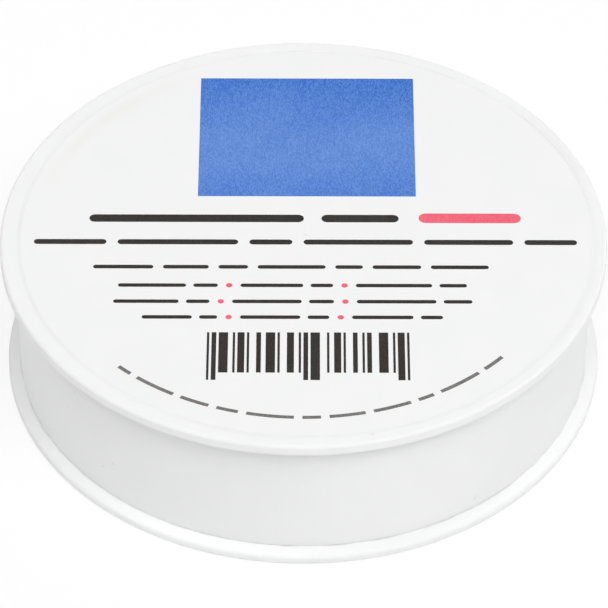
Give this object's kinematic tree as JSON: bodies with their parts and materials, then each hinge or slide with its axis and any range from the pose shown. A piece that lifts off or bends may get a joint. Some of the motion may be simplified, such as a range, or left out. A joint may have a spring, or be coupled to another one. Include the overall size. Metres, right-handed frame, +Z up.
{
  "type": "finger moistener",
  "caption": "Low round white plastic pot with a flanged dish, a cake of fingertip moistener inside, and a deep overhanging slip-on lid with a label disc.",
  "frame": {"origin": "centre of the foot ring, on the plane that the pot stands on", "axes": "+Z up along the pot's axis; -Y towards the viewer in the picture, so the label reads from -Y; +X to the viewer's right"},
  "size_m": [0.0762, 0.0762, 0.0205],
  "materials": {
    "white_plastic": "satin",
    "cake": "satin",
    "label": "satin"
  },
  "bodies": {
    "base": {"base_dish": "white_plastic", "moistener_cake": "cake"},
    "lid": {"lid_shell": "white_plastic", "lid_label": "label"}
  },
  "joints": [
    {"name": "lid_lift", "type": "slide", "parent": "base", "child": "lid", "axis": [0, 0, 1], "range_m": [0, 0.04]}
  ]
}
